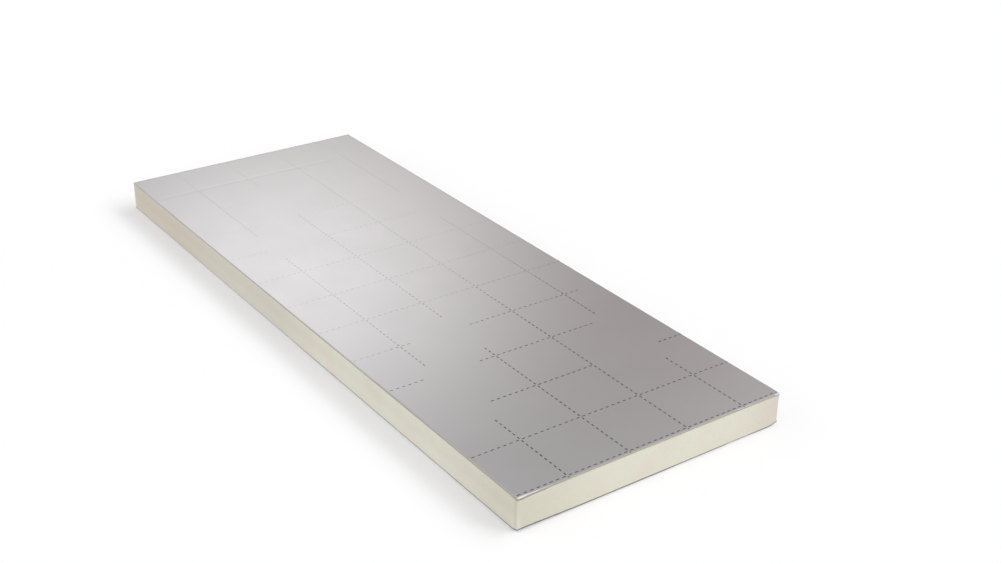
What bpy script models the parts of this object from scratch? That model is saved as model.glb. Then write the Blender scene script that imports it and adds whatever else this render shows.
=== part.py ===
# Foil-faced rigid foam insulation board, lying flat with its underside at z = 0.
# X runs across the width, Y along the length, and the origin is under the middle of the board.

import math

import bmesh
import bpy

# Driving dimensions, in metres
boardLength = 1.200
boardWidth = 0.450
boardThickness = 0.050
facingThickness = 0.0003      # multi-layer foil laminate
bondGap = 0.0003              # foam skin between a facing and the cut core
rollRadius = 0.0012           # the facings are pressed over the sawn edges in this outer radius
cornerRadius = 0.0012         # plan radius of the four vertical corners
tightestCorner = 0.0002       # plan radius where a ring runs out of room for more
rollSegments = 6
cornerSegments = 4

foilColour = (0.78, 0.78, 0.80, 1.0)
foilRoughness = 0.32
foamColour = (0.80, 0.79, 0.62, 1.0)
foamRoughness = 0.92


def clearScene():
    for item in list(bpy.data.objects):
        bpy.data.objects.remove(item, do_unlink=True)


def surfaceMaterial(name, colour, roughness, metallic):
    material = bpy.data.materials.new(name)
    material.use_nodes = True
    shader = material.node_tree.nodes["Principled BSDF"]
    shader.inputs["Base Color"].default_value = colour
    shader.inputs["Roughness"].default_value = roughness
    shader.inputs["Metallic"].default_value = metallic
    material.diffuse_color = colour
    return material


def outlineRing(inset, height):
    # The board's rounded rectangle, drawn in by inset, as points at one height.
    radius = max(cornerRadius - inset, tightestCorner)
    centreX = boardWidth / 2 - inset - radius
    centreY = boardLength / 2 - inset - radius
    points = []
    for quarter, (signX, signY) in enumerate([(1, 1), (-1, 1), (-1, -1), (1, -1)]):
        for step in range(cornerSegments + 1):
            angle = (quarter + step / cornerSegments) * math.pi / 2
            x = signX * centreX + radius * math.cos(angle)
            y = signY * centreY + radius * math.sin(angle)
            points.append((x, y, height))
    return points


def rolledEdge(radius, depth):
    # Quarter round from the flat of a face down to its side, as (inset, height) pairs.
    # The arc's centre lies rollRadius in from the side and depth below z = 0.
    pairs = []
    for step in range(rollSegments + 1):
        angle = step / rollSegments * math.pi / 2
        inset = rollRadius - radius * math.sin(angle)
        height = radius * math.cos(angle) - depth
        pairs.append((inset, height))
    return pairs


def loftedSolid(name, profile, material):
    # A closed solid through one ring for each (inset, height) pair, with a flat cap on both ends.
    mesh = bpy.data.meshes.new(name)
    body = bmesh.new()
    rings = [[body.verts.new(point) for point in outlineRing(*pair)] for pair in profile]
    for lower, upper in zip(rings, rings[1:]):
        for i in range(len(lower)):
            following = (i + 1) % len(lower)
            body.faces.new((lower[i], lower[following], upper[following], upper[i]))
    body.faces.new(rings[0])
    body.faces.new(rings[-1])
    bmesh.ops.recalc_face_normals(body, faces=body.faces)
    body.to_mesh(mesh)
    body.free()
    mesh.shade_smooth()
    mesh.set_sharp_from_angle(angle=math.radians(30))
    mesh.materials.append(material)
    solid = bpy.data.objects.new(name, mesh)
    bpy.context.scene.collection.objects.link(solid)
    return solid


def facing(name, side, material):
    # One foil sheet with its rim pressed over the edge: side is 1 on top and -1 underneath.
    # Its outer flat is at the object's z = 0.
    outer = rolledEdge(rollRadius, rollRadius)
    inner = rolledEdge(rollRadius - facingThickness, rollRadius)
    section = outer + inner[::-1]
    return loftedSolid(name, [(inset, side * height) for inset, height in section], material)


def foamCore(name, material):
    # The sawn foam slab: flush with the facings' rims, and rebated under them all round.
    seatRadius = rollRadius - facingThickness - bondGap
    seat = rolledEdge(seatRadius, rollRadius)
    rebateHeight = -(rollRadius + bondGap)
    halfThickness = boardThickness / 2
    seatFoot = (seat[-1][0], rebateHeight)
    sideTop = (0.0, rebateHeight)
    upperHalf = [(inset, halfThickness + height) for inset, height in seat + [seatFoot, sideTop]]
    lowerHalf = [(inset, -height) for inset, height in upperHalf[::-1]]
    return loftedSolid(name, upperHalf + lowerHalf, material)


def buildBoard():
    clearScene()
    foil = surfaceMaterial("satin_foil", foilColour, foilRoughness, 1.0)
    foam = surfaceMaterial("rigid_foam", foamColour, foamRoughness, 0.0)
    board = bpy.data.objects.new("insulation_board", None)
    bpy.context.scene.collection.objects.link(board)
    placed = [
        (foamCore("foam_core", foam), boardThickness / 2),
        (facing("top_facing", 1, foil), boardThickness),
        (facing("bottom_facing", -1, foil), 0.0),
    ]
    for piece, height in placed:
        piece.parent = board
        piece.location.z = height


buildBoard()
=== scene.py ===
import math

import bpy
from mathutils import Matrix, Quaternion, Vector, noise


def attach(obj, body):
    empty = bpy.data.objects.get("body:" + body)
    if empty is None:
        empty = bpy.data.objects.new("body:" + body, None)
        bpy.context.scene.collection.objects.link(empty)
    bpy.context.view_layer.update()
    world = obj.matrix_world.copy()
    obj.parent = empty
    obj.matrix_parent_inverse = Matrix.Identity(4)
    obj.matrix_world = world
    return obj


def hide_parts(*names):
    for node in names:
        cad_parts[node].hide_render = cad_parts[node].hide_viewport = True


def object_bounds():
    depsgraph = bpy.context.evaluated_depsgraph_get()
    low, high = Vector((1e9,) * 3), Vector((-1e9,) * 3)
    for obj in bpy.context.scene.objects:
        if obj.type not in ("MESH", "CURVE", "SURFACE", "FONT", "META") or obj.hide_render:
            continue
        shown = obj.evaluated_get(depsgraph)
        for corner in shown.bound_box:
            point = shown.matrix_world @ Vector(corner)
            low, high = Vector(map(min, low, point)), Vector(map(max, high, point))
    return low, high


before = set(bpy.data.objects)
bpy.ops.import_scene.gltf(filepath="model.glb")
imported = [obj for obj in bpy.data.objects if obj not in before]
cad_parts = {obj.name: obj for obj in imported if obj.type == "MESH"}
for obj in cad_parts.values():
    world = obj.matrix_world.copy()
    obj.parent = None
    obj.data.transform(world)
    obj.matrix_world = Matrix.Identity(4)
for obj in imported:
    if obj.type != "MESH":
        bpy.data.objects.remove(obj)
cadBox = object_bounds()
boardLow, boardHigh = cadBox
boardWidth = (boardHigh.x - boardLow.x) * 1000
boardLength = (boardHigh.y - boardLow.y) * 1000
boardThickness = (boardHigh.z - boardLow.z) * 1000
print("frame loaded: board of %.0f x %.0f x %.0f mm" % (boardWidth, boardLength, boardThickness))


# Small helpers

def linearColour(hexText):
    # An sRGB hex value such as "#D8D6D9" as linear RGBA.
    parts = [int(hexText[i:i + 2], 16) / 255 for i in (1, 3, 5)]
    linear = [p / 12.92 if p <= 0.04045 else ((p + 0.055) / 1.055) ** 2.4 for p in parts]
    return tuple(linear) + (1.0,)


def addNode(tree, kind, values=None, links=None, **settings):
    # One node with its settings, its socket values and the sockets that feed it.
    node = tree.nodes.new(kind)
    for name, value in settings.items():
        setattr(node, name, value)
    for socket, value in (values or {}).items():
        node.inputs[socket].default_value = value
    for socket, source in (links or {}).items():
        tree.links.new(source, node.inputs[socket])
    return node


def smoothStep(low, high, value):
    share = min(max((value - low) / (high - low), 0.0), 1.0)
    return share * share * (3 - 2 * share)


def alongKnots(knots, place):
    # Smooth value between (place, value) knots.
    for (start, first), (end, second) in zip(knots, knots[1:]):
        if place <= end:
            return first + (second - first) * smoothStep(start, end, place)
    return knots[-1][1]


def newMaterial(name):
    material = bpy.data.materials.new(name)
    material.use_nodes = True
    return material, material.node_tree, material.node_tree.nodes["Principled BSDF"]


def addPiece(name, points, faces, slots, faceSlots, nodeName, sharpAngle=35):
    # Makes the mesh, in millimetres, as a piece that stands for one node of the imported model.
    mesh = bpy.data.meshes.new(name)
    mesh.from_pydata([tuple(c / 1000 for c in point) for point in points], [], faces)
    mesh.update()
    mesh.shade_smooth()
    mesh.set_sharp_from_angle(angle=math.radians(sharpAngle))
    for material in slots:
        mesh.materials.append(material)
    mesh.polygons.foreach_set("material_index", faceSlots)
    piece = bpy.data.objects.new(name, mesh)
    bpy.context.scene.collection.objects.link(piece)
    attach(piece, "root")
    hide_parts(nodeName)
    print("%s: %d faces" % (name, len(mesh.polygons)))
    return piece


# Camera

cameraValues = {
    "azimuth": 35.5,                   # degrees from the board's length toward its right side
    "elevation": 26.61,                # degrees above the horizon
    "roll": 0.8,                       # degrees
    "distance": 2.311,                 # metres from the aim
    "aim": (0.101, -0.102, 0.050),     # metres
    "lens": 52.23,
    "sensorWidth": 36.0,
}


def placeCamera(values):
    azimuth = math.radians(values["azimuth"])
    elevation = math.radians(values["elevation"])
    level = math.cos(elevation)
    forward = Vector((math.sin(azimuth) * level, math.cos(azimuth) * level,
                      -math.sin(elevation)))
    data = bpy.data.cameras.new("studioCamera")
    data.lens = values["lens"]
    data.sensor_width = values["sensorWidth"]
    camera = bpy.data.objects.new("studioCamera", data)
    camera.location = Vector(values["aim"]) - forward * values["distance"]
    camera.rotation_mode = "QUATERNION"
    roll = Quaternion((0, 0, 1), math.radians(values["roll"]))
    camera.rotation_quaternion = forward.to_track_quat("-Z", "Y") @ roll
    bpy.context.scene.collection.objects.link(camera)
    bpy.context.scene.camera = camera


placeCamera(cameraValues)
print("camera placed")


# Materials of the facings

foilValues = {
    "colour": "#E6E4E7",
    "roughness": (0.175, 0.198),       # from the cleanest to the cloudiest places
    "cloudSize": 70.0,                 # across one cloudy place
    "cloudRange": (0.3, 0.7),          # of the noise, from the cleanest to the cloudiest
    "rollLine": 1.4,                   # between rolling lines, drawn coarser than the real 0.1
    "rollDepth": 0.0006,
    "rollStretch": 0.02,               # a line is this thin for its length
}


def rolledFoil(name, values):
    # Aluminium foil laminate, rolled satin side out under a thin lacquer: it mirrors the
    # room softly, with faint cloudy places and rolling lines along its length.
    material, tree, shader = newMaterial(name)
    place = addNode(tree, "ShaderNodeTexCoord").outputs["Object"]
    cloud = addNode(tree, "ShaderNodeTexNoise",
                    {"Scale": 1000 / values["cloudSize"], "Detail": 3.0, "Roughness": 0.55},
                    {"Vector": place})
    clean, cloudy = values["roughness"]
    polish = addNode(tree, "ShaderNodeMapRange",
                     {"From Min": values["cloudRange"][0], "From Max": values["cloudRange"][1],
                      "To Min": clean, "To Max": cloudy},
                     {"Value": cloud.outputs["Fac"]})
    drawn = addNode(tree, "ShaderNodeMapping", {"Scale": (1.0, values["rollStretch"], 1.0)},
                    {"Vector": place})
    lines = addNode(tree, "ShaderNodeTexNoise",
                    {"Scale": 1000 / values["rollLine"], "Detail": 2.0},
                    {"Vector": drawn.outputs["Vector"]})
    bump = addNode(tree, "ShaderNodeBump",
                   {"Strength": 1.0, "Distance": values["rollDepth"] / 1000},
                   {"Height": lines.outputs["Fac"]})
    tree.links.new(polish.outputs["Result"], shader.inputs["Roughness"])
    tree.links.new(bump.outputs["Normal"], shader.inputs["Normal"])
    shader.inputs["Base Color"].default_value = linearColour(values["colour"])
    shader.inputs["Metallic"].default_value = 1.0
    return material


inkValues = {
    "steps": [                         # where along the board each strength starts, and its colour, paler toward the far end: painted sheen washing out the print
        (-100, "#262426"),
        (345, "#706D6F"),
        (415, "#9D9A9C"),
        (480, "#C2BFC1"),
        (560, "#CBC8CA"),
        (660, "#D2CFD1"),
        (780, "#D6D3D5"),
    ],
    "lean": 0.45,                      # how much later the painted sheen's paler strengths start on the right, for each mm across
    "roughness": (0.22, 0.30),
    "grain": 0.8,                      # across one grain of the printing cylinder
}


def gravureInk(name, colour, values):
    # Thin grey gravure ink on the foil: the metal still shines through it, duller and darker.
    material, tree, shader = newMaterial(name)
    place = addNode(tree, "ShaderNodeTexCoord").outputs["Object"]
    grain = addNode(tree, "ShaderNodeTexNoise",
                    {"Scale": 1000 / values["grain"], "Detail": 1.0}, {"Vector": place})
    least, most = values["roughness"]
    polish = addNode(tree, "ShaderNodeMapRange", {"To Min": least, "To Max": most},
                     {"Value": grain.outputs["Fac"]})
    tree.links.new(polish.outputs["Result"], shader.inputs["Roughness"])
    shader.inputs["Base Color"].default_value = linearColour(colour)
    shader.inputs["Metallic"].default_value = 1.0
    return material


edgeValues = {
    "colour": "#AFACA4",
    "paintedContactShade": "#403E36",               # painted contact shade underneath, along the foot where the board meets the floor
    "roughness": (0.62, 0.80),
    "fibre": 0.7,                      # across one clump of paper fibre
}


def cutLaminate(name, colour, values):
    # Sawn edge of the laminate, where paper and glue show between the foils: dull and greyish.
    material, tree, shader = newMaterial(name)
    place = addNode(tree, "ShaderNodeTexCoord").outputs["Object"]
    fibre = addNode(tree, "ShaderNodeTexNoise",
                    {"Scale": 1000 / values["fibre"], "Detail": 2.0}, {"Vector": place})
    least, most = values["roughness"]
    dull = addNode(tree, "ShaderNodeMapRange", {"To Min": least, "To Max": most},
                   {"Value": fibre.outputs["Fac"]})
    tree.links.new(dull.outputs["Result"], shader.inputs["Roughness"])
    shader.inputs["Base Color"].default_value = linearColour(colour)
    shader.inputs["Metallic"].default_value = 0.0
    return material


foil = rolledFoil("aluminiumFoilRolledSatin", foilValues)
# One ink for each strength: the first is the print, the paler ones are the print under painted
# sheen.
inks = [gravureInk("foilInkGravurePaintedSheen%d" % (i + 1), colour, inkValues)
        for i, (start, colour) in enumerate(inkValues["steps"])]
cutEdge = cutLaminate("foilLaminateSawnEdge", edgeValues["colour"], edgeValues)
# The lower rim's sawn edge, painted dark as contact shade where the board meets the floor.
contactShadeEdge = cutLaminate("foilLaminateSawnEdgePaintedShade", edgeValues["paintedContactShade"], edgeValues)
print("facing materials made")


# Both facings: a foil sheet with its rims pressed down over the board's edges

sheetValues = {
    "thickness": 0.3,
    "rollAngles": (0, 12, 25, 38, 50, 61, 71, 79, 85),   # degrees round a pressed rim
    "margin": 3.0,                     # from a side to the flat's first points, past any rim
    "cell": 6.0,                       # widest spacing of the sheet's points
    "least": 0.05,                     # cuts closer than this are made as one
}


def stationsAlong(length, lines, widths, dashes, extra, values):
    # Flat stations across the sheet: the printed cuts, with the wide spaces between filled.
    margin = values["margin"]
    cuts = [margin, length - margin] + list(extra)
    cuts += [line + side * width / 2 for line, width in zip(lines, widths) for side in (-1, 1)]
    cuts += [centre + side * reach for centre, reach in dashes for side in (-1, 1)]
    cuts = sorted(c for c in cuts if margin <= c <= length - margin)
    stations = [cuts[0]]
    for cut in cuts[1:]:
        start = stations[-1]
        space = cut - start
        if space < values["least"]:
            continue
        pieces = max(1, math.ceil(space / values["cell"]))
        stations += [start + space * (k + 1) / pieces for k in range(pieces)]
    return stations


def rimDirection(rollX, rollY):
    # Unit direction on a rim for the roll angles toward the two sides.
    steep = max(rollX, rollY)
    if steep == 0:
        return 0.0, 0.0, 1.0
    turn = rollY / rollX * 45 if rollX >= rollY else 90 - rollX / rollY * 45
    steep, turn = math.radians(steep), math.radians(turn)
    return math.sin(steep) * math.cos(turn), math.sin(steep) * math.sin(turn), math.cos(steep)


def pressedSheet(rims, cuts, flatX, flatY, values, drop, flatSlot):
    # A closed foil sheet with its rims rolled down over the board's edges, seen from outside as
    # a top facing. Returns points, faces and slots; flatSlot names the slot of a flat face.
    rolls = values["rollAngles"]
    stationsX = [("left", 0.0, r) for r in rolls[::-1]] + [(None, x, 0) for x in flatX]
    stationsX += [("right", 0.0, r) for r in rolls]
    stationsY = [("near", 0.0, r) for r in rolls[::-1]] + [(None, y, 0) for y in flatY]
    stationsY += [("far", 0.0, r) for r in rolls]
    cornerRadius = {"near": {"left": rims["near"][0][1], "right": rims["near"][-1][1]},
                    "far": {"left": rims["far"][0][1], "right": rims["far"][-1][1]}}

    def skinPoint(stationX, stationY, inward):
        sideX, x, rollX = stationX
        sideY, y, rollY = stationY
        if sideX and sideY:
            radius = cornerRadius[sideY][sideX]
        elif sideX:
            radius = alongKnots(rims[sideX], y)
        elif sideY:
            radius = alongKnots(rims[sideY], x)
        else:
            radius = 1.0               # cancels out on the flat
        if sideX:
            x = radius if sideX == "left" else boardWidth - radius
        if sideY:
            y = radius if sideY == "near" else boardLength - radius
        toX, toY, toZ = rimDirection(rollX, rollY)
        signX = -1 if sideX == "left" else 1
        signY = -1 if sideY == "near" else 1
        reach = radius - inward
        return (x + signX * toX * reach, y + signY * toY * reach,
                toZ * reach - radius - drop(x, y))

    def outerSlot(pairX, pairY, corners):
        # Flat faces carry the print; past the cut angle, a rim's face is the sawn laminate.
        across = sum(c[0] for c in corners) / 4
        along = sum(c[1] for c in corners) / 4
        rollX = (pairX[0][2] + pairX[1][2]) / 2
        rollY = (pairY[0][2] + pairY[1][2]) / 2
        if rollX == 0 and rollY == 0:
            return flatSlot(across, along)
        if rollX > rollY:
            limit = alongKnots(cuts[pairX[0][0] or pairX[1][0]], along)
        else:
            limit = alongKnots(cuts[pairY[0][0] or pairY[1][0]], across)
        return 1 if max(rollX, rollY) > limit else 0

    points = []
    for inward in (0.0, values["thickness"]):
        for stationX in stationsX:
            points += [skinPoint(stationX, stationY, inward) for stationY in stationsY]
    countX, countY = len(stationsX), len(stationsY)
    inner = countX * countY
    faces, slots = [], []
    for i in range(countX - 1):
        for j in range(countY - 1):
            a, b = i * countY + j, (i + 1) * countY + j
            outer = (a, b, b + 1, a + 1)
            faces.append(outer)
            slots.append(outerSlot(stationsX[i:i + 2], stationsY[j:j + 2],
                                   [points[p] for p in outer]))
            faces.append(tuple(inner + p for p in outer[::-1]))
            slots.append(0)
    border = [i * countY for i in range(countX)]
    border += [(countX - 1) * countY + j for j in range(1, countY)]
    border += [i * countY + countY - 1 for i in range(countX - 2, -1, -1)]
    border += [j for j in range(countY - 2, 0, -1)]
    for p, q in zip(border, border[1:] + border[:1]):
        faces.append((q, p, inner + p, inner + q))
        slots.append(1)
    return points, faces, slots


# Top facing

topValues = {
    "rim": {                           # (place along the side, radius the rim is pressed round)
        "near": [(0, 2.7), (8, 2.7), (34, 1.8), (60, 1.2), (430, 1.2), (450, 2.2)],
        "far": [(0, 0.9), (10, 0.5), (450, 0.5)],
        "left": [(0, 2.7), (8, 2.4), (20, 1.5), (300, 1.5), (372, 1.3), (1000, 1.1),
                 (1200, 0.9)],
        "right": [(0, 2.2), (12, 0.6), (1200, 0.5)],
    },
    "cut": {                           # (place along the side, degrees round the rim to foil's end)
        "near": [(0, 52), (12, 44), (26, 38), (46, 26), (60, 10), (369, 10), (376, 24),
                 (393, 24), (399, 10), (438, 10), (443, 44), (450, 58)],
        "far": [(0, 90), (450, 90)],
        "left": [(0, 5), (330, 5), (372, 32), (600, 28), (960, 19), (1200, 14)],
        "right": [(0, 90), (1200, 90)],
    },
    "waveDepth": 0.03,                 # the sheet's gentle waves
    "waveWidth": 90.0,                 # across one wave
    "waveSlice": 3.1,                  # the slice of the noise that they come from
    "creaseAlong": 1101.5,             # a shallow crease across the far end
    "creaseAcross": (8, 392),
    "creaseFade": (14, 60),            # how far its left and right ends take to die out
    "creaseWidth": 5.0,
    "creaseDepth": 0.03,
    "creaseRows": 8,                   # rows of points on each side of it
    "creaseSpacing": 2.0,
}

printValues = {                        # the dashed setting-out lines, on a grid
    "columns": [82.2 + 100.3 * k for k in range(4)],
    "rows": [5.9 + 100.5 * k - 0.105 * k * k for k in range(12)],    # closer toward the far end
    "columnWidths": [1.55] * 4,        # across each printed line
    "rowWidths": [1.4, 1.4, 1.6, 1.4, 1.3] + [1.1] * 7,
    "dashes": 10,                      # dashes between two crossings
    "dashShare": 0.5,                  # the inked share of a dash and its gap
    "columnBare": {0: [(165, 332), (765, 860)], 1: [(335, 450), (910, 1060)],
                   3: [(162, 330), (760, 885)]},                     # where a line has no dashes
    "rowBare": {2: [(0, 102), (287, 405)], 3: [(60, 155), (360, 450)], 4: [(107, 207), (412, 450)],
                8: [(75, 175), (362, 450)], 9: [(0, 35), (110, 202), (385, 450)],
                10: [(0, 85), (145, 295), (420, 450)]},
}


def dashCentres(crossings, length, values):
    # (centre, half length) of every dash along a line, with a gap centred on each crossing.
    steps = [b - a for a, b in zip(crossings, crossings[1:])]
    starts = [crossings[0] - steps[0]] + list(crossings)
    steps = [steps[0]] + steps + [steps[-1]]
    while starts[-1] + steps[-1] < length:
        starts.append(starts[-1] + steps[-1])
        steps.append(steps[-1])
    found = []
    for start, step in zip(starts, steps):
        for k in range(values["dashes"]):
            centre = start + (k + 0.5) * step / values["dashes"]
            if 0 < centre < length:
                found.append((centre, step / values["dashes"] * values["dashShare"] / 2))
    return found


def isPrinted(across, along, dashesX, dashesY, values):
    for k, column in enumerate(values["columns"]):
        if abs(across - column) < values["columnWidths"][k] / 2:
            bare = any(a < along < b for a, b in values["columnBare"].get(k, []))
            return not bare and any(abs(along - c) < reach for c, reach in dashesY)
    for k, row in enumerate(values["rows"]):
        if abs(along - row) < values["rowWidths"][k] / 2:
            bare = any(a < across < b for a, b in values["rowBare"].get(k, []))
            return not bare and any(abs(across - c) < reach for c, reach in dashesX)
    return False


def makeTopFacing(values, printed):
    dashesX = dashCentres(printed["columns"], boardWidth, printed)
    dashesY = dashCentres(printed["rows"], boardLength, printed)
    creaseRows = [values["creaseAlong"] + values["creaseSpacing"] * k
                  for k in range(-values["creaseRows"], values["creaseRows"] + 1)]
    flatX = stationsAlong(boardWidth, printed["columns"], printed["columnWidths"], dashesX,
                          [], sheetValues)
    flatY = stationsAlong(boardLength, printed["rows"], printed["rowWidths"], dashesY,
                          creaseRows, sheetValues)

    def sheetWave(across, along):
        # The sheet's gentle waves and its crease, as a drop.
        size = values["waveWidth"]
        wave = noise.noise(Vector((across / size, along / size, values["waveSlice"])))
        drop = values["waveDepth"] * (0.5 + 0.5 * wave)
        left, right = values["creaseAcross"]
        leftFade, rightFade = values["creaseFade"]
        reach = smoothStep(left, left + leftFade, across)
        reach *= 1 - smoothStep(right - rightFade, right, across)
        offset = (along - values["creaseAlong"]) / values["creaseWidth"]
        return drop + values["creaseDepth"] * reach * math.exp(-offset * offset)

    def flatSlot(across, along):
        # Slot 0 is bare foil, slot 1 the sawn edge, and the inks follow, paler toward the far end
        # as painted sheen.
        if not isPrinted(across, along, dashesX, dashesY, printed):
            return 0
        # The place along the board, slanted across, that picks how much painted sheen pales the
        # print.
        sheenFadePlace = along - inkValues["lean"] * (across - boardWidth / 2)
        return 1 + sum(1 for start, colour in inkValues["steps"] if sheenFadePlace > start)

    points, faces, slots = pressedSheet(values["rim"], values["cut"], flatX, flatY, sheetValues,
                                        sheetWave, flatSlot)
    placed = [(x - boardWidth / 2, y - boardLength / 2, boardThickness + z) for x, y, z in points]
    return addPiece("topFoilFacing", placed, faces, [foil, cutEdge] + inks, slots, "top_facing")


# Bottom facing

bottomValues = {
    "rim": {                           # as for the top, and worn rounder by the near end
        "near": [(0, 1.75), (450, 1.75)],
        "far": [(0, 1.0), (450, 1.0)],
        "left": [(0, 1.75), (540, 1.75), (900, 1.0), (1200, 1.0)],
        "right": [(0, 1.75), (540, 1.75), (900, 1.0), (1200, 1.0)],
    },
    # Past the foil's end, the lower rim is painted dark as contact shade.
    "cut": {
        "near": [(0, 8), (230, 10), (260, 45), (340, 45), (356, 70), (400, 70), (412, 40),
                 (450, 30)],
        "far": [(0, 60), (450, 60)],
        "left": [(0, 62), (120, 64), (240, 74), (540, 74), (640, 90), (1200, 90)],
        "right": [(0, 60), (1200, 60)],
    },
    "dents": [                         # across, along, reach across, reach along, rise
        (450.0, 0.0, 17.0, 12.0, 3.2),     # the near right corner, crushed
        (0.0, 0.0, 120.0, 9.0, 1.7),       # the near left end of the lower edge, rubbed round
    ],
    "dentRows": 15,                    # closer rows of points by the crushed corner
    "dentSpacing": 2.0,
}


def cornerCrush(across, along):
    # How far the underside is pressed up from below.
    rise = 0.0
    for dentX, dentY, reachX, reachY, height in bottomValues["dents"]:
        offset = math.hypot((across - dentX) / reachX, (along - dentY) / reachY)
        rise = max(rise, height * (1 - smoothStep(0.0, 1.0, offset)))
    return rise


def makeBottomFacing(values):
    near = [values["dentSpacing"] * (k + 1) for k in range(values["dentRows"])]
    flatX = stationsAlong(boardWidth, [], [], [], [boardWidth - n for n in near], sheetValues)
    flatY = stationsAlong(boardLength, [], [], [], near, sheetValues)
    points, faces, slots = pressedSheet(values["rim"], values["cut"], flatX, flatY, sheetValues,
                                        cornerCrush, lambda across, along: 0)
    placed = [(x - boardWidth / 2, y - boardLength / 2, -z) for x, y, z in points]
    faces = [face[::-1] for face in faces]
    return addPiece("bottomFoilFacing", placed, faces, [foil, contactShadeEdge], slots,
                    "bottom_facing")


makeTopFacing(topValues, printValues)
makeBottomFacing(bottomValues)


# Foam core

foamValues = {
    "colour": "#E3E2D1",
    "blush": "#E4D9CE",                # warmer places
    "farEndTones": [                          # greyer, then yellower, toward the far end: Y in metres
        (-0.13, 0.06, "#D9D5C7"),
        (0.20, 0.42, "#D5CCBD"),
    ],
    "nearCornerTones": [                       # a little darker by the near corners: X, Y, reach in metres
        (-0.225, -0.6, 0.17, "#D8D4C3"),
        (0.225, -0.6, 0.09, "#DCD5C6"),
    ],
    "foot": (1.09, 1.09, 1.12),        # painted bounce light: how much paler the left side is low down, as lit from the floor, red to blue
    "bounceLightHeight": (0.010, 0.030),      # metres up, over which that fades
    "bounceLightReach": (-0.222, -0.214),     # X in metres, over which it fades from the left side
    "blotchSize": 55.0,                # across one warmer blotch
    "blotchRange": (0.45, 0.75),       # of the noise, from where it starts to where it is full
    "blotchShare": 0.8,                # of the warmer colour in a full one
    "cell": 1.5,                       # drawn coarser than the real closed cells of 0.3
    "cellDepth": 0.05,
    "cellRelief": 0.6,                 # strength of their bump
    "pitRange": (0.1, 0.75),           # from a cell's middle to its wall, in cells
    "pitPaintedShade": 0.93,                  # painted shade: how bright its middle is beside its wall
    "roughness": (0.86, 0.98),
}


def sawnFoam(name, values):
    # Polyisocyanurate foam, closed-cell, sawn: matt and pale cream, with fine open cells on
    # the sawn faces and faint warmer blotches.
    material, tree, shader = newMaterial(name)
    place = addNode(tree, "ShaderNodeTexCoord").outputs["Object"]
    blotch = addNode(tree, "ShaderNodeTexNoise",
                     {"Scale": 1000 / values["blotchSize"], "Detail": 2.0}, {"Vector": place})
    warm = addNode(tree, "ShaderNodeMapRange",
                   {"From Min": values["blotchRange"][0], "From Max": values["blotchRange"][1],
                    "To Max": values["blotchShare"]},
                   {"Value": blotch.outputs["Fac"]})
    tint = addNode(tree, "ShaderNodeMix",
                   {"A": linearColour(values["colour"]), "B": linearColour(values["blush"])},
                   {"Factor": warm.outputs["Result"]}, data_type="RGBA")

    # Each change comes in as its source goes from the first place to the second.
    axes = addNode(tree, "ShaderNodeSeparateXYZ", None, {"Vector": place})
    changes = []
    for start, end, colour in values["farEndTones"]:
        changes.append((axes.outputs["Y"], (start, end), (0.0, 1.0), colour))
    for x, y, reach, colour in values["nearCornerTones"]:
        middle = boardThickness / 2 / 1000
        away = addNode(tree, "ShaderNodeVectorMath", {1: (x, y, middle)}, {0: place},
                       operation="DISTANCE")
        changes.append((away.outputs["Value"], (0.0, reach), (1.0, 0.0), colour))
    for source, reach, share, colour in changes:
        factor = addNode(tree, "ShaderNodeMapRange",
                         {"From Min": reach[0], "From Max": reach[1],
                          "To Min": share[0], "To Max": share[1]},
                         {"Value": source}, interpolation_type="SMOOTHSTEP")
        tint = addNode(tree, "ShaderNodeMix", {"B": linearColour(colour)},
                       {"Factor": factor.outputs["Result"], "A": tint.outputs["Result"]},
                       data_type="RGBA")

    # Painted bounce light: the left side is paler low down, as if lit from the floor.
    lowDown = addNode(tree, "ShaderNodeMapRange",
                      {"From Min": values["bounceLightHeight"][0], "From Max": values["bounceLightHeight"][1],
                       "To Min": 1.0, "To Max": 0.0},
                      {"Value": axes.outputs["Z"]}, interpolation_type="SMOOTHSTEP")
    onLeft = addNode(tree, "ShaderNodeMapRange",
                     {"From Min": values["bounceLightReach"][0], "From Max": values["bounceLightReach"][1],
                      "To Min": 1.0, "To Max": 0.0},
                     {"Value": axes.outputs["X"]}, interpolation_type="SMOOTHSTEP")
    foot = addNode(tree, "ShaderNodeMath", None,
                   {0: lowDown.outputs["Result"], 1: onLeft.outputs["Result"]},
                   operation="MULTIPLY")
    tint = addNode(tree, "ShaderNodeMix", {"B": values["foot"] + (1.0,)},
                   {"Factor": foot.outputs[0], "A": tint.outputs["Result"]},
                   data_type="RGBA", blend_type="MULTIPLY")

    # Open cells, with painted shade darkening their pits.
    cells = addNode(tree, "ShaderNodeTexVoronoi", {"Scale": 1000 / values["cell"]},
                    {"Vector": place}, feature="F1")
    pits = addNode(tree, "ShaderNodeMapRange",
                   {"From Min": values["pitRange"][0], "From Max": values["pitRange"][1],
                    "To Min": values["pitPaintedShade"]},
                   {"Value": cells.outputs["Distance"]})
    shade = addNode(tree, "ShaderNodeMix", {"Factor": 1.0},
                    {"A": tint.outputs["Result"], "B": pits.outputs["Result"]},
                    data_type="RGBA", blend_type="MULTIPLY")
    least, most = values["roughness"]
    dull = addNode(tree, "ShaderNodeMapRange", {"To Min": least, "To Max": most},
                   {"Value": cells.outputs["Distance"]})
    bump = addNode(tree, "ShaderNodeBump",
                   {"Strength": values["cellRelief"], "Distance": values["cellDepth"] / 1000},
                   {"Height": cells.outputs["Distance"]})
    tree.links.new(shade.outputs["Result"], shader.inputs["Base Color"])
    tree.links.new(dull.outputs["Result"], shader.inputs["Roughness"])
    tree.links.new(bump.outputs["Normal"], shader.inputs["Normal"])
    return material


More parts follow.
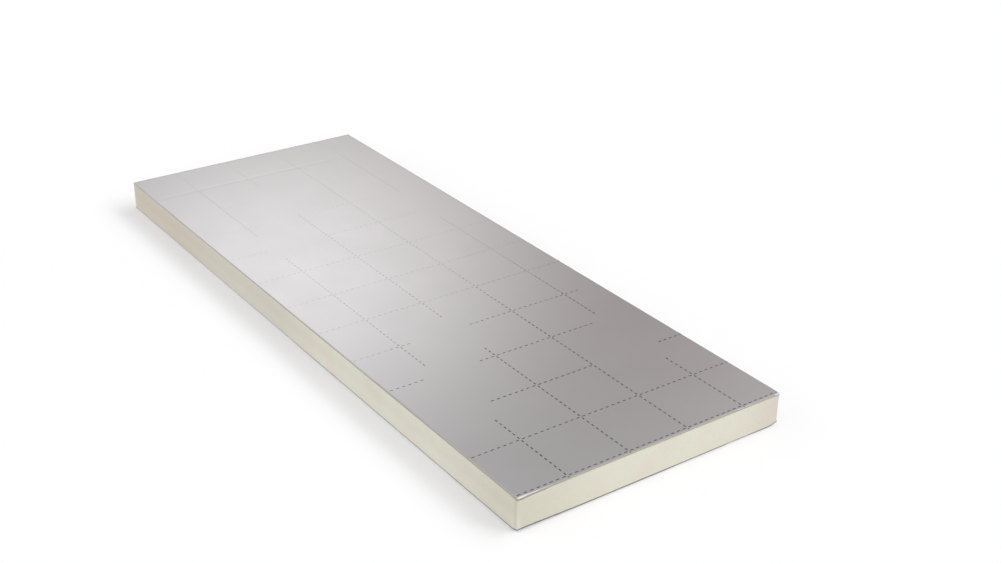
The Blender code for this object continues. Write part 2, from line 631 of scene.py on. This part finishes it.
coreValues = {
    "spacing": 2.5,                    # between points round the board
    "cornerSpacing": 0.5,              # the same by its corners
    "cornerRows": 14,                  # points at that spacing on each side of a corner
    "leastSpacing": 1.0,               # between the last even point and the next corner's first
    "cornerSteps": 4,                  # steps round a vertical corner
    "levels": 20,                      # rows of points up the side
    "corner": 1.2,                     # plan radius of the vertical corners
    "wornCorner": 3.2,                 # plan radius of the near right one
    "skin": 0.3,                       # gap between the core and a facing
    "slot": {                          # height of the shadow gap under the top facing's rim
        "near": [(0, 1.2), (40, 1.1), (60, 0.65), (450, 0.65)],
        "left": [(0, 0.4), (160, 0.25), (330, 0.25), (372, 0.4), (1200, 0.3)],
        "far": [(0, 0.4), (450, 0.4)],
        "right": [(0, 0.4), (1200, 0.4)],
    },
    "lap": 7.0,                        # how far in the flat faces under the facings begin
    "lowerSeat": [(1.5, 0.65), (0.9, 0.9)],   # (inset, height) of the core inside the lower rim
    "rimSeat": 0.65,                   # inset just behind the end of a rim
    "upperSeat": (0.7, 0.3),           # inset, and share of the rim's radius, above its end
    "upperFace": (1.2, 0.62),          # inset past the rim's radius, and depth below the top
    "sawDepth": 0.16,                  # slow waves left by the saw
    "sawWave": 42,                     # across one of them
    "pitDepth": 0.10,                  # small uneven pits
    "pitSize": 5,                      # across one of them
    "calmReach": 3,                    # both grow shallower this near to a facing
    "calmShare": 0.3,                  # and have this share of their depth beside it
    "furrow": (3.2, 2.2, 1.8),         # a furrow beside the near left corner: place, width, depth
}


def coreOutline(values):
    # Points round the board as (side, place along it, x, y, outward x, outward y).
    sharp, worn, spacing = values["corner"], values["wornCorner"], values["spacing"]

    def places(length, first, last):
        close = [values["cornerSpacing"] * (k + 1) for k in range(values["cornerRows"])]
        start = [first] + [first + c for c in close]
        end = [length - last - c for c in close[::-1]] + [length - last]
        middle = []
        while start[-1] + spacing * (len(middle) + 1) < end[0] - values["leastSpacing"]:
            middle.append(start[-1] + spacing * (len(middle) + 1))
        return start + middle + end

    outline = []
    width, length, steps = boardWidth, boardLength, values["cornerSteps"]
    sides = [("near", width, lambda s: (s, 0.0), (0, -1)),
             ("right", length, lambda s: (width, s), (1, 0)),
             ("far", width, lambda s: (width - s, length), (0, 1)),
             ("left", length, lambda s: (0.0, length - s), (-1, 0))]
    for name, reach, spot, (outX, outY) in sides:
        backward = name in ("far", "left")
        first = worn if name == "right" else sharp
        corner = worn if name == "near" else sharp
        for s in places(reach, first, corner):
            x, y = spot(s)
            outline.append((name, reach - s if backward else s, x, y, outX, outY))
        x, y = spot(reach - corner)
        centreX, centreY = x - outX * corner, y - outY * corner
        for step in range(1, steps):
            angle = math.atan2(outY, outX) + step / steps * math.pi / 2
            toX, toY = math.cos(angle), math.sin(angle)
            outline.append((name, 0.0 if backward else reach, centreX + toX * corner,
                            centreY + toY * corner, toX, toY))
    return outline


def makeFoamCore(material, values):
    skin, levels, calm = values["skin"], values["levels"], values["calmShare"]
    furrowPlace, furrowWidth, furrowDepth = values["furrow"]
    upperInset, upperShare = values["upperSeat"]
    faceInset, faceDepth = values["upperFace"]
    faceHeight = boardThickness - faceDepth
    rings = []
    for side, place, x, y, outX, outY in coreOutline(values):
        radius = alongKnots(topValues["rim"][side], place)
        slot = alongKnots(values["slot"][side], place)
        lift = cornerCrush(x, y)
        foot = alongKnots(bottomValues["rim"][side], place) + skin + lift
        head = boardThickness - radius - slot

        seat = [(values["lap"], values["lowerSeat"][0][1] + lift)]
        seat += [(inset, height + lift) for inset, height in values["lowerSeat"]]
        seat.append((values["rimSeat"], foot))

        sawn = []
        for level in range(levels + 1):
            z = foot + (head - foot) * level / levels
            spot = Vector((x, y, z))
            saw = 0.5 + 0.5 * noise.noise(spot / values["sawWave"])
            pit = 0.5 + 0.5 * noise.noise(spot / values["pitSize"])
            edge = smoothStep(0, values["calmReach"], min(z - foot, head - z)) * (1 - calm) + calm
            inset = edge * (values["sawDepth"] * saw + values["pitDepth"] * pit)
            if side == "left":
                offset = (place - furrowPlace) / (furrowWidth / 2)
                inset += furrowDepth * math.exp(-offset * offset)
            sawn.append((inset, z))

        top = [(values["rimSeat"] + slot, head), (upperInset + slot, head + upperShare * radius),
               (radius + faceInset, faceHeight), (values["lap"], faceHeight)]
        rings.append([(x - outX * inset - boardWidth / 2, y - outY * inset - boardLength / 2, z)
                      for inset, z in seat + sawn + top])
    points = [point for ring in rings for point in ring]
    count, rows = len(rings), len(rings[0])
    faces = []
    for i in range(count):
        a, b = i * rows, (i + 1) % count * rows
        faces += [(a + k, b + k, b + k + 1, a + k + 1) for k in range(rows - 1)]
    faces.append(tuple(i * rows for i in range(count - 1, -1, -1)))
    faces.append(tuple(i * rows + rows - 1 for i in range(count)))
    return addPiece("sawnFoamCore", points, faces, [material], [0] * len(faces), "foam_core",
                    40)


foam = sawnFoam("polyisoFoamSawn", foamValues)
makeFoamCore(foam, coreValues)


# Studio floor and surround

floorValues = {
    "reach": 12.0,                     # metres each way
    "colour": "#EFEFF1",
    "glow": 0.125,                     # lifts the floor's white where it is seen or mirrored
}


def makeFloor(values):
    # Matt white painted studio floor.
    material, tree, shader = newMaterial("studioFloorPaintedMatt")
    path = addNode(tree, "ShaderNodeLightPath")
    seen = addNode(tree, "ShaderNodeMath", None,
                   {0: path.outputs["Is Camera Ray"], 1: path.outputs["Is Glossy Ray"]},
                   operation="MAXIMUM")
    seen = addNode(tree, "ShaderNodeMath", None,
                   {0: seen.outputs[0], 1: path.outputs["Is Transmission Ray"]},
                   operation="MAXIMUM")
    glow = addNode(tree, "ShaderNodeMath", {1: values["glow"]}, {0: seen.outputs[0]},
                   operation="MULTIPLY")
    tree.links.new(glow.outputs[0], shader.inputs["Emission Strength"])
    shader.inputs["Emission Color"].default_value = (1, 1, 1, 1)
    shader.inputs["Base Color"].default_value = linearColour(values["colour"])
    shader.inputs["Roughness"].default_value = 1.0
    shader.inputs["Specular IOR Level"].default_value = 0.0
    r = values["reach"]
    mesh = bpy.data.meshes.new("studioFloor")
    mesh.from_pydata([(-r, -r, 0), (r, -r, 0), (r, r, 0), (-r, r, 0)], [], [(0, 1, 2, 3)])
    mesh.materials.append(material)
    floor = bpy.data.objects.new("studioFloor", mesh)
    bpy.context.scene.collection.objects.link(floor)


# A reach here is a range of the cosine toward its azimuth, and a height is a range of the sine
# of the elevation.
surroundValues = {
    "level": 0.515,                    # the pale room
    "brightToward": 265,               # degrees, the open left side
    "brightReach": (0.17, 0.32),
    "brightLevel": 0.96,
    "dimToward": 49.0,                 # degrees, the middle of the darker far side
    "dimReach": (0.45, 0.80),
    "dimHeight": (0.430, 0.682),       # where the darker side fades into the ceiling
    "dimTint": "#FFF7F0",
    "dimLevels": (0.125, 0.470),       # from left to right over dimAcross
    "dimAcross": (0.25, 0.75),         # X of the direction
    "horizonLevel": 1.0,               # white low down all round, behind the floor's far edge
    "horizonHeight": (0.14, 0.28),     # where that white fades into the room
    "mirrorLevel": 1.15,               # the softboxes show in the foil no whiter than this
    "panels": [                        # azimuth, elevation, size sideways and up, level
        (25.1, 26.2, 0.274, 0.172, 1.005),   # low behind the far end, seen in the foil
        (110.3, 49.1, 0.838, 0.484, 2.95),   # the key, a long softbox high on the right
        (142.5, 33.3, 0.307, 0.15, 7.4),     # small ones before and behind the board, which
        (8.0, 32.5, 0.15, 0.213, 2.57),      # soften both ends of the shadow
    ],
}


def levelDirection(degrees):
    return math.sin(math.radians(degrees)), math.cos(math.radians(degrees)), 0.0


def makeSurround(values):
    # The room as the foil mirrors it: pale, open on the left, darker on the far right.
    world = bpy.data.worlds.new("studioSurround")
    bpy.context.scene.world = world
    world.use_nodes = True
    tree = world.node_tree
    background = tree.nodes["Background"]
    direction = addNode(tree, "ShaderNodeTexCoord").outputs["Generated"]
    parts = addNode(tree, "ShaderNodeSeparateXYZ", None, {"Vector": direction})

    # The pale room, brighter toward its open side.
    openSide = addNode(tree, "ShaderNodeVectorMath", {1: levelDirection(values["brightToward"])},
                       {0: direction}, operation="DOT_PRODUCT")
    pale = addNode(tree, "ShaderNodeMapRange",
                   {"From Min": values["brightReach"][0], "From Max": values["brightReach"][1],
                    "To Min": values["level"], "To Max": values["brightLevel"]},
                   {"Value": openSide.outputs["Value"]}, interpolation_type="SMOOTHSTEP")

    # Its darker far side, up to the ceiling.
    darkSide = addNode(tree, "ShaderNodeVectorMath", {1: levelDirection(values["dimToward"])},
                       {0: direction}, operation="DOT_PRODUCT")
    side = addNode(tree, "ShaderNodeMapRange",
                   {"From Min": values["dimReach"][0], "From Max": values["dimReach"][1]},
                   {"Value": darkSide.outputs["Value"]}, interpolation_type="SMOOTHSTEP")
    under = addNode(tree, "ShaderNodeMapRange",
                    {"From Min": values["dimHeight"][0], "From Max": values["dimHeight"][1],
                     "To Min": 1.0, "To Max": 0.0},
                    {"Value": parts.outputs["Z"]}, interpolation_type="SMOOTHSTEP")
    shade = addNode(tree, "ShaderNodeMath", None,
                    {0: side.outputs["Result"], 1: under.outputs["Result"]},
                    operation="MULTIPLY").outputs[0]
    dim = addNode(tree, "ShaderNodeMapRange",
                  {"From Min": values["dimAcross"][0], "From Max": values["dimAcross"][1],
                   "To Min": values["dimLevels"][0], "To Max": values["dimLevels"][1]},
                  {"Value": parts.outputs["X"]}).outputs["Result"]
    total = addNode(tree, "ShaderNodeMix", None,
                    {"Factor": shade, "A": pale.outputs["Result"], "B": dim},
                    data_type="FLOAT").outputs[0]

    # The softboxes, each an oval that fades out from its middle.
    for azimuth, elevation, wide, tall, level in values["panels"]:
        sinA, cosA = levelDirection(azimuth)[:2]
        sinE, cosE = math.sin(math.radians(elevation)), math.cos(math.radians(elevation))
        sideways = addNode(tree, "ShaderNodeVectorMath", {1: (cosA / wide, -sinA / wide, 0)},
                           {0: direction}, operation="DOT_PRODUCT").outputs["Value"]
        upward = addNode(tree, "ShaderNodeVectorMath",
                         {1: (-sinA * sinE / tall, -cosA * sinE / tall, cosE / tall)},
                         {0: direction}, operation="DOT_PRODUCT").outputs["Value"]
        widePart = addNode(tree, "ShaderNodeMath", None, {0: sideways, 1: sideways},
                           operation="MULTIPLY")
        tallPart = addNode(tree, "ShaderNodeMath", None, {0: upward, 1: upward},
                           operation="MULTIPLY")
        squared = addNode(tree, "ShaderNodeMath", None,
                          {0: widePart.outputs[0], 1: tallPart.outputs[0]}, operation="ADD")
        away = addNode(tree, "ShaderNodeMath", None, {0: squared.outputs[0]}, operation="SQRT")
        glow = addNode(tree, "ShaderNodeMapRange", {"To Min": level, "To Max": 0.0},
                       {"Value": away.outputs[0]}, interpolation_type="SMOOTHSTEP")
        total = addNode(tree, "ShaderNodeMath", None, {0: total, 1: glow.outputs["Result"]},
                        operation="ADD").outputs[0]

    # The darker side's share of the light, which its tint colours.
    dimPart = addNode(tree, "ShaderNodeMath", None, {0: shade, 1: dim}, operation="MULTIPLY")
    dimShare = addNode(tree, "ShaderNodeMath", None, {0: dimPart.outputs[0], 1: total},
                       operation="DIVIDE")
    above = addNode(tree, "ShaderNodeMapRange",
                    {"From Min": values["horizonHeight"][0],
                     "From Max": values["horizonHeight"][1]},
                    {"Value": parts.outputs["Z"]},
                    interpolation_type="SMOOTHSTEP").outputs["Result"]
    total = addNode(tree, "ShaderNodeMix", {"A": values["horizonLevel"]},
                    {"Factor": above, "B": total}, data_type="FLOAT").outputs[0]

    # The foil mirrors the softboxes dimmer than they light the foam and the floor.
    softened = addNode(tree, "ShaderNodeMath", {1: values["mirrorLevel"]}, {0: total},
                       operation="MINIMUM").outputs[0]
    mirrored = addNode(tree, "ShaderNodeLightPath").outputs["Is Glossy Ray"]
    total = addNode(tree, "ShaderNodeMix", None, {"Factor": mirrored, "A": total, "B": softened},
                    data_type="FLOAT").outputs[0]

    tinted = addNode(tree, "ShaderNodeMath", None, {0: dimShare.outputs[0], 1: above},
                     operation="MULTIPLY")
    tint = addNode(tree, "ShaderNodeMix", {"A": (1, 1, 1, 1), "B": linearColour(values["dimTint"])},
                   {"Factor": tinted.outputs[0]}, data_type="RGBA")
    tree.links.new(total, background.inputs["Strength"])
    tree.links.new(tint.outputs["Result"], background.inputs["Color"])


makeFloor(floorValues)
makeSurround(surroundValues)
bpy.context.scene.view_settings.view_transform = "Standard"
print("floor and surround made")
